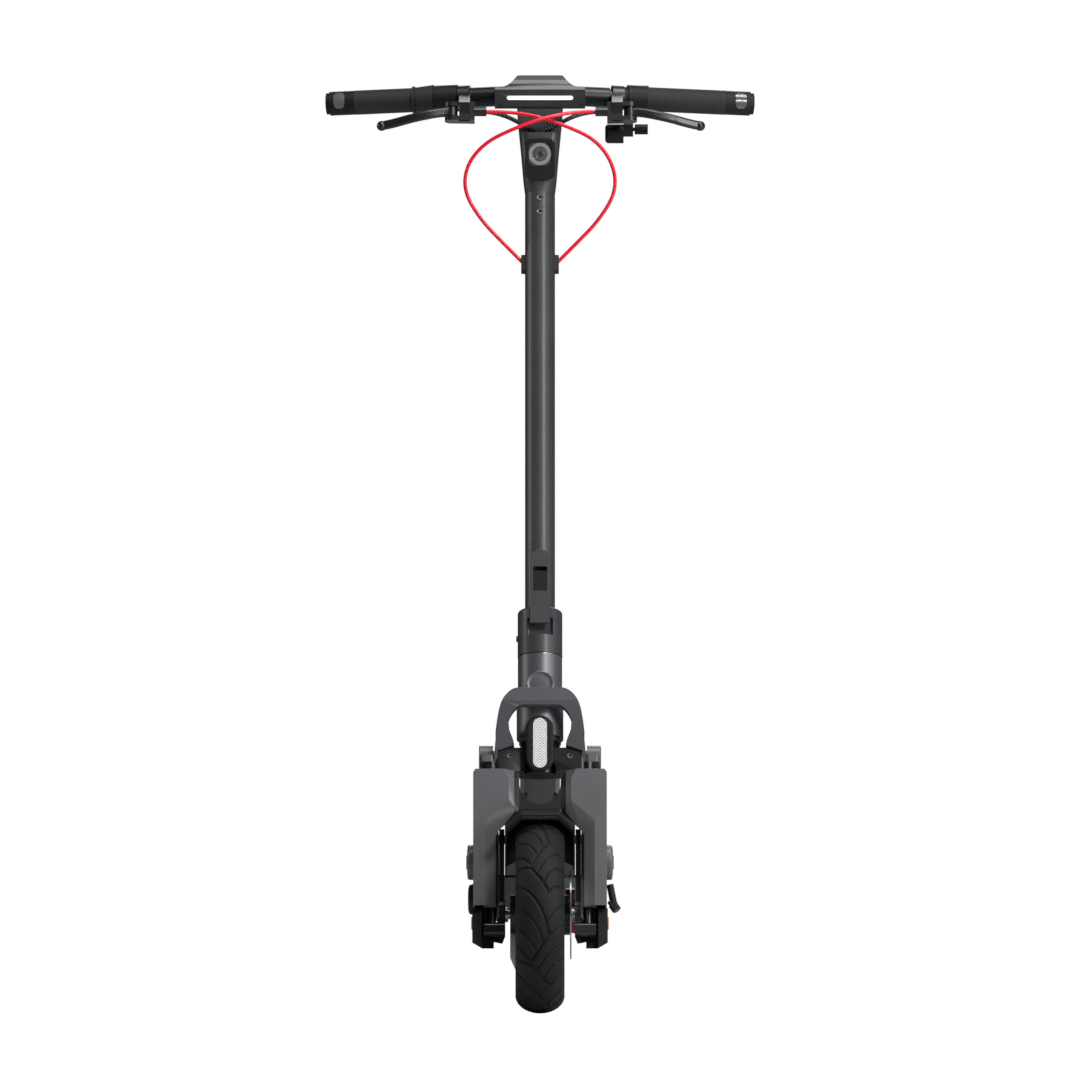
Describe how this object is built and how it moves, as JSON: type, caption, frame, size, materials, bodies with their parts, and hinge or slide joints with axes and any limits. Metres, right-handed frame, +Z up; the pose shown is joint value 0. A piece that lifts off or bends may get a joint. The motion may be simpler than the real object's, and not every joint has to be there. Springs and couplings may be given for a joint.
{
  "type": "electric kick scooter",
  "caption": "Folding electric kick scooter with a sprung fork in shrouds, hub motor, disc brakes, twist throttle, and a deck that holds the battery.",
  "frame": {"origin": "on the floor, under the middle of the machine", "axes": "+Z up, front towards -Y, +X towards the rider's left"},
  "size_m": [0.582, 1.1898, 1.2713],
  "materials": {
    "frame_paint": "fine matte paint",
    "bearing_steel": "ground steel",
    "deck_aluminium": "black anodised extrusion",
    "rubber_mat": "ribbed rubber",
    "black_plastic": "fine grain moulding",
    "battery_wrap": "shrink wrap",
    "controller_aluminium": "cast aluminium",
    "red_lens": "clear red",
    "axle_steel": "zinc plated",
    "caliper_paint": "red paint",
    "fork_paint": "satin paint",
    "dark_casting": "dark cast metal",
    "shroud_plastic": "satin grey moulding",
    "white_reflector": "prismatic reflector",
    "tyre_rubber": "grooved tread",
    "rim_paint": "satin black",
    "disc_steel": "ground steel",
    "black_rubber": "moulded rubber",
    "clear_lens": "clear lens",
    "bar_aluminium": "black anodised",
    "white_diffuser": "diffuser strip",
    "pod_plastic": "satin pod moulding",
    "grip_rubber": "patterned grip",
    "amber_lens": "amber lens",
    "lever_metal": "satin black",
    "red_cable": "red cable jacket",
    "harness_wrap": "spiral wrap",
    "latch_metal": "dark satin paint",
    "red_plastic": "black slider",
    "kickstand_metal": "cast aluminium"
  },
  "bodies": {
    "frame": {"main_frame": "frame_paint", "headset_bearings": "bearing_steel", "deck_shell": "deck_aluminium", "deck_mat": "rubber_mat", "bottom_cover": "black_plastic", "battery_pack": "battery_wrap", "motor_controller": "controller_aluminium", "tail_frame": "frame_paint", "rear_fender": "black_plastic", "tail_light": "red_lens", "rear_axle": "axle_steel", "rear_caliper": "caliper_paint"},
    "steering": {"fork": "fork_paint", "guard_arch": "black_plastic", "front_reflector": "white_reflector", "reflector_frame": "black_plastic", "hinge_collar": "frame_paint", "hinge_pin": "axle_steel"},
    "carriage": {"fork_lowers": "dark_casting", "damper_rods": "axle_steel", "shroud_right": "shroud_plastic", "shroud_left": "shroud_plastic", "front_fender": "black_plastic", "front_axle": "axle_steel", "front_caliper": "caliper_paint"},
    "front_wheel": {"front_tyre": "tyre_rubber", "front_rim": "rim_paint", "wheel_bearings": "bearing_steel", "front_rotor": "disc_steel"},
    "rear_wheel": {"rear_tyre": "tyre_rubber", "motor_hub": "rim_paint", "rear_rotor": "disc_steel"},
    "stem": {"stem_tube": "frame_paint", "stem_fittings": "black_rubber", "headlight_housing": "black_plastic", "headlight_lens": "clear_lens", "stem_neck": "frame_paint", "handlebar": "bar_aluminium", "light_strip": "white_diffuser", "display_pod": "pod_plastic", "grips": "grip_rubber", "signal_lenses": "amber_lens", "bar_ends": "black_plastic", "control_housings": "black_plastic", "lever_mounts": "lever_metal", "bell_body": "black_plastic", "brake_cable_left": "red_cable", "brake_cable_right": "red_cable", "harness_right": "harness_wrap", "harness_left": "harness_wrap"},
    "throttle": {"throttle_sleeve": "grip_rubber"},
    "signal_button": {"signal_switch": "black_rubber"},
    "power_switch": {"power_button": "black_rubber"},
    "right_lever": {"lever_right": "lever_metal"},
    "left_lever": {"lever_left": "lever_metal"},
    "bell_knob": {"bell_striker": "black_plastic"},
    "latch": {"latch_plate": "latch_metal"},
    "latch_lock": {"latch_slider": "red_plastic"},
    "port_cap": {"charge_cap": "black_rubber"},
    "stand": {"kickstand": "kickstand_metal"}
  },
  "joints": [
    {"name": "steer", "type": "hinge", "parent": "frame", "child": "steering", "pos_m": [0, -0.46115, 0.1337], "axis": [0, 0.279, 0.9603], "range_deg": [-45, 45]},
    {"name": "fork_travel", "type": "slide", "parent": "steering", "child": "carriage", "axis": [0, 0.279, 0.9603], "range_m": [0, 0.022], "stiffness_N_per_m": 20000, "springref_m": -0.01},
    {"name": "front_wheel_spin", "type": "hinge", "parent": "carriage", "child": "front_wheel", "pos_m": [0, -0.46115, 0.1337], "axis": [1, 0, 0], "continuous": true},
    {"name": "rear_wheel_spin", "type": "hinge", "parent": "frame", "child": "rear_wheel", "pos_m": [0, 0.43885, 0.1337], "axis": [1, 0, 0], "continuous": true},
    {"name": "stem_fold", "type": "hinge", "parent": "steering", "child": "stem", "pos_m": [0, -0.31519, 0.51783], "axis": [-1, 0, 0], "range_deg": [0, 84]},
    {"name": "latch_swing", "type": "hinge", "parent": "stem", "child": "latch", "pos_m": [0, -0.37418, 0.54059], "axis": [1, 0, 0], "range_deg": [0, 40]},
    {"name": "latch_lock_slide", "type": "slide", "parent": "latch", "child": "latch_lock", "axis": [0, 0.279, 0.9603], "range_m": [0, 0.005], "stiffness_N_per_m": 200, "springref_m": -0.003},
    {"name": "throttle_twist", "type": "hinge", "parent": "stem", "child": "throttle", "pos_m": [-0.15, -0.12794, 1.23858], "axis": [-0.9877, 0.1502, -0.0436], "range_deg": [0, 65], "stiffness_Nm_per_rad": 0.1, "springref_deg": -11.46},
    {"name": "right_lever_pull", "type": "hinge", "parent": "stem", "child": "right_lever", "pos_m": [0.122, -0.18515, 1.221], "axis": [0, 0.279, 0.9603], "range_deg": [0, 18], "stiffness_Nm_per_rad": 1, "springref_deg": -11.46},
    {"name": "left_lever_pull", "type": "hinge", "parent": "stem", "child": "left_lever", "pos_m": [-0.1195, -0.18515, 1.221], "axis": [0, -0.279, -0.9603], "range_deg": [0, 18], "stiffness_Nm_per_rad": 1, "springref_deg": -11.46},
    {"name": "bell_twist", "type": "hinge", "parent": "stem", "child": "bell_knob", "pos_m": [0.128, -0.14315, 1.198], "axis": [1, 0, 0], "range_deg": [0, 30], "stiffness_Nm_per_rad": 0.05, "springref_deg": -11.46},
    {"name": "signal_press", "type": "slide", "parent": "stem", "child": "signal_button", "axis": [0.1564, -0.9485, 0.2756], "range_m": [0, 0.0012], "stiffness_N_per_m": 400, "springref_m": -0.001},
    {"name": "power_press", "type": "slide", "parent": "stem", "child": "power_switch", "axis": [0, -1, 0], "range_m": [0, 0.0015], "stiffness_N_per_m": 400, "springref_m": -0.001},
    {"name": "stand_swing", "type": "hinge", "parent": "frame", "child": "stand", "pos_m": [0.065, -0.22915, 0.1205], "axis": [-1, 0, 0], "range_deg": [0, 95]},
    {"name": "cap_open", "type": "hinge", "parent": "frame", "child": "port_cap", "pos_m": [0.0855, 0.22085, 0.1695], "axis": [0, -1, 0], "range_deg": [0, 80]}
  ]
}
